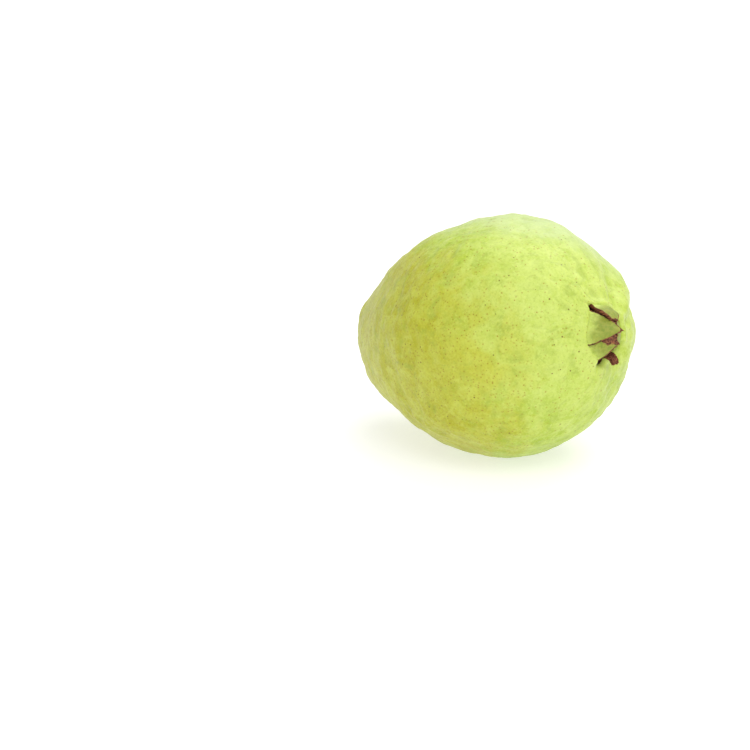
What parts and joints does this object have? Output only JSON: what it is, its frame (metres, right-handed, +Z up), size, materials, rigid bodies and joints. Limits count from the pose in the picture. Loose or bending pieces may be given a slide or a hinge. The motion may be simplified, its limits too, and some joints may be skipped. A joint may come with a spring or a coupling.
{
  "type": "guava",
  "caption": "Whole green guava lying on its side: a lumpy egg-shaped fruit with dry sepals closed over its flower end and a short cut stalk in a dimple at the other.",
  "frame": {"origin": "the point of the flat resting spot that lies straight under the fruit's centre of weight", "axes": "+X along the fruit as it lies, towards the calyx, +Z up from the surface it rests on"},
  "size_m": [0.1061, 0.0739, 0.074],
  "materials": {
    "skin": "fresh yellow-green guava skin, satin, finely wrinkled, with pale mottling and small brown dots",
    "sepal": "leathery olive-green sepals with dry red-brown torn edges",
    "stamen": "dry dark brown stamen threads, matt and brittle",
    "stalk": "green-brown bark, matt, with a dry brown cut end"
  },
  "bodies": {
    "root": {"fruit": "skin", "calyx": "sepal", "dried_stamens": "stamen", "stalk": "stalk"}
  },
  "joints": []
}
